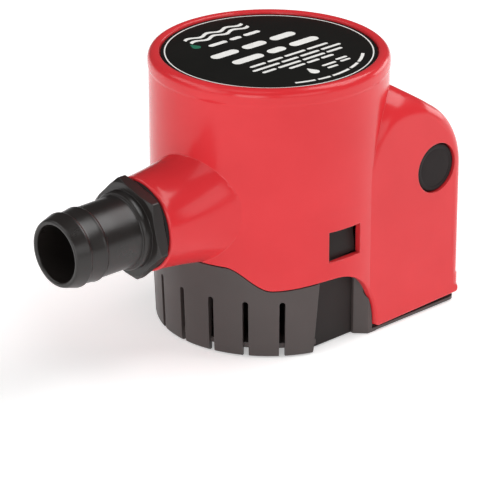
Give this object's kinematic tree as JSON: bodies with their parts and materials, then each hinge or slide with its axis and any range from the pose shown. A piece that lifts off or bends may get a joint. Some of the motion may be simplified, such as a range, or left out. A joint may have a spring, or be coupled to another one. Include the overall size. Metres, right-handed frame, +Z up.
{
  "type": "submersible bilge pump",
  "caption": "Small automatic submersible bilge pump: red housing with side hose outlet and switch pod, dark strainer base with side latches, test button and threaded hose adapter.",
  "frame": {"origin": "on the motor axis, on the plane that the strainer base stands on", "axes": "+Z up along the motor shaft; the hose outlet points to -X and the switch pod is on the +X side; the test button is on the -Y side"},
  "size_m": [0.1521, 0.0806, 0.095],
  "materials": {
    "red_plastic": "satin moulded ABS",
    "label_black": "printed label",
    "white_plastic": "moulded",
    "rubber": "moulded nitrile",
    "black_rubber": "soft moulded cap",
    "steel": "zinc plated",
    "bronze": "sintered or stamped bronze",
    "ferrite": "sintered ferrite",
    "black_plastic": "glass-filled nylon",
    "carbon": "pressed carbon",
    "stainless": "drawn",
    "grey_plastic": "moulded polypropylene",
    "circuit_board": "solder mask over glass epoxy",
    "laminate": "stamped stack",
    "copper": "enamelled copper"
  },
  "bodies": {
    "base": {"strainer_base": "grey_plastic"},
    "latch_front": {"latch_front": "grey_plastic"},
    "latch_back": {"latch_back": "grey_plastic"},
    "pump": {"housing": "red_plastic", "label_disc": "label_black", "motor_capsule": "white_plastic", "capsule_o_ring": "rubber", "shaft_seal": "rubber", "motor_can": "steel", "lower_bearing": "bronze", "upper_bearing": "bronze", "magnet_front": "ferrite", "magnet_back": "ferrite", "end_bell": "black_plastic", "brush_left": "carbon", "brush_right": "carbon", "brush_spring_left": "stainless", "brush_spring_right": "stainless", "intake_plate": "grey_plastic", "plate_screw_1": "stainless", "plate_screw_2": "stainless", "plate_screw_3": "stainless", "switch_tray": "black_plastic", "switch_board": "circuit_board", "micro_switch": "black_plastic", "sensor_plate_low": "bronze", "sensor_plate_high": "bronze", "button_spring": "stainless", "cable_gland": "rubber", "gland_nut": "black_plastic"},
    "rotor": {"motor_shaft": "stainless", "armature_core": "laminate", "winding_lower": "copper", "winding_upper": "copper", "commutator": "copper", "impeller": "black_plastic", "impeller_nut": "stainless"},
    "button": {"test_button": "black_rubber"},
    "gasket": {"adapter_gasket": "rubber"},
    "adapter": {"hose_adapter": "black_plastic"}
  },
  "joints": [
    {"name": "pump_lift", "type": "slide", "parent": "base", "child": "pump", "axis": [0, 0, 1], "range_m": [0, 0.05]},
    {"name": "rotor_spin", "type": "hinge", "parent": "pump", "child": "rotor", "pos_m": [0, 0, 0.05], "axis": [0, 0, 1], "continuous": true},
    {"name": "latch_front_flex", "type": "hinge", "parent": "base", "child": "latch_front", "pos_m": [0, -0.032, 0.0025], "axis": [-1, 0, 0], "range_deg": [0, 4], "stiffness_Nm_per_rad": 4},
    {"name": "latch_back_flex", "type": "hinge", "parent": "base", "child": "latch_back", "pos_m": [0, 0.032, 0.0025], "axis": [1, 0, 0], "range_deg": [0, 4], "stiffness_Nm_per_rad": 4},
    {"name": "test_button_press", "type": "slide", "parent": "pump", "child": "button", "axis": [0, 1, 0], "range_m": [0, 0.0015], "stiffness_N_per_m": 500, "springref_m": -0.002, "deforming": ["button_spring"]},
    {"name": "adapter_travel", "type": "slide", "parent": "pump", "child": "gasket", "axis": [-1, 0, 0], "range_m": [0, 0.0047]},
    {"name": "adapter_turn", "type": "hinge", "parent": "gasket", "child": "adapter", "pos_m": [-0.06, 0, 0.0481], "axis": [-1, 0, 0], "range_deg": [0, 720]}
  ],
  "couplings": [
    {"joint": "adapter_travel", "follows": "adapter_turn", "m_per_rad": 0.000366}
  ]
}
